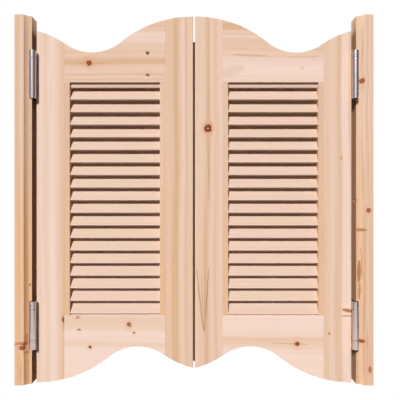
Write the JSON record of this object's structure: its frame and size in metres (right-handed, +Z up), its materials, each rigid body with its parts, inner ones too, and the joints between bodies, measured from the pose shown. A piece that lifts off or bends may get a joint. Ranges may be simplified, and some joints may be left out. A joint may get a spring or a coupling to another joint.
{
  "type": "cafe swinging doors",
  "caption": "Louvred swinging half doors with scalloped top and bottom edges, hung from two jamb strips on double-action spring hinges.",
  "frame": {"origin": "centre of the closed pair: midway between the jambs, in the mid plane of the leaves, at the jambs' mid height", "axes": "+Z up, +X to the right across the opening, -Y towards the viewer who faces the doors"},
  "size_m": [0.9, 0.0674, 0.93],
  "materials": {
    "jamb_pine": "clear satin finish over knotty pine",
    "frame_pine": "clear satin finish over knotty pine",
    "louvre_pine": "clear satin finish over plain pine",
    "hinge_steel": "satin nickel-plated rolled sheet steel",
    "screw_steel": "plated steel",
    "spring_steel": "oiled spring steel"
  },
  "bodies": {
    "jambs": {"left_hinge_jamb_plates": "hinge_steel", "left_hinge_jamb_screws": "screw_steel", "left_hinge_jamb_spindles": "hinge_steel", "left_hinge_jamb_tension_pins": "screw_steel", "left_hinge_jamb_tension_plugs": "hinge_steel", "left_jamb": "jamb_pine", "right_hinge_jamb_plates": "hinge_steel", "right_hinge_jamb_screws": "screw_steel", "right_hinge_jamb_spindles": "hinge_steel", "right_hinge_jamb_tension_pins": "screw_steel", "right_hinge_jamb_tension_plugs": "hinge_steel", "right_jamb": "jamb_pine"},
    "left_hinge_link": {"left_hinge_centre_plates": "hinge_steel", "left_hinge_springs": "spring_steel"},
    "left_leaf": {"left_bottom_rail": "frame_pine", "left_bottom_slat": "louvre_pine", "left_hinge_door_plates": "hinge_steel", "left_hinge_door_screws": "screw_steel", "left_hinge_door_spindles": "hinge_steel", "left_hinge_door_tension_pins": "screw_steel", "left_hinge_door_tension_plugs": "hinge_steel", "left_hinge_louvre_strip": "frame_pine", "left_hinge_stile": "frame_pine", "left_louvre_slats": "louvre_pine", "left_meeting_louvre_strip": "frame_pine", "left_meeting_stile": "frame_pine", "left_top_filler": "louvre_pine", "left_top_rail": "frame_pine"},
    "right_hinge_link": {"right_hinge_centre_plates": "hinge_steel", "right_hinge_springs": "spring_steel"},
    "right_leaf": {"right_bottom_rail": "frame_pine", "right_bottom_slat": "louvre_pine", "right_hinge_door_plates": "hinge_steel", "right_hinge_door_screws": "screw_steel", "right_hinge_door_spindles": "hinge_steel", "right_hinge_door_tension_pins": "screw_steel", "right_hinge_door_tension_plugs": "hinge_steel", "right_hinge_louvre_strip": "frame_pine", "right_hinge_stile": "frame_pine", "right_louvre_slats": "louvre_pine", "right_meeting_louvre_strip": "frame_pine", "right_meeting_stile": "frame_pine", "right_top_filler": "louvre_pine", "right_top_rail": "frame_pine"}
  },
  "joints": [
    {"name": "left_jamb_pivot", "type": "hinge", "parent": "jambs", "child": "left_hinge_link", "pos_m": [-0.40425, -0.025, 0], "axis": [0, 0, 1], "range_deg": [-90, 0], "stiffness_Nm_per_rad": 1.5, "springref_deg": 28.65},
    {"name": "left_door_pivot", "type": "hinge", "parent": "left_hinge_link", "child": "left_leaf", "pos_m": [-0.40425, 0.025, 0], "axis": [0, 0, 1], "range_deg": [0, 90], "stiffness_Nm_per_rad": 1.5, "springref_deg": -28.65},
    {"name": "right_jamb_pivot", "type": "hinge", "parent": "jambs", "child": "right_hinge_link", "pos_m": [0.40425, 0.025, 0], "axis": [0, 0, 1], "range_deg": [-90, 0], "stiffness_Nm_per_rad": 1.5, "springref_deg": 28.65},
    {"name": "right_door_pivot", "type": "hinge", "parent": "right_hinge_link", "child": "right_leaf", "pos_m": [0.40425, -0.025, 0], "axis": [0, 0, 1], "range_deg": [0, 90], "stiffness_Nm_per_rad": 1.5, "springref_deg": -28.65}
  ]
}
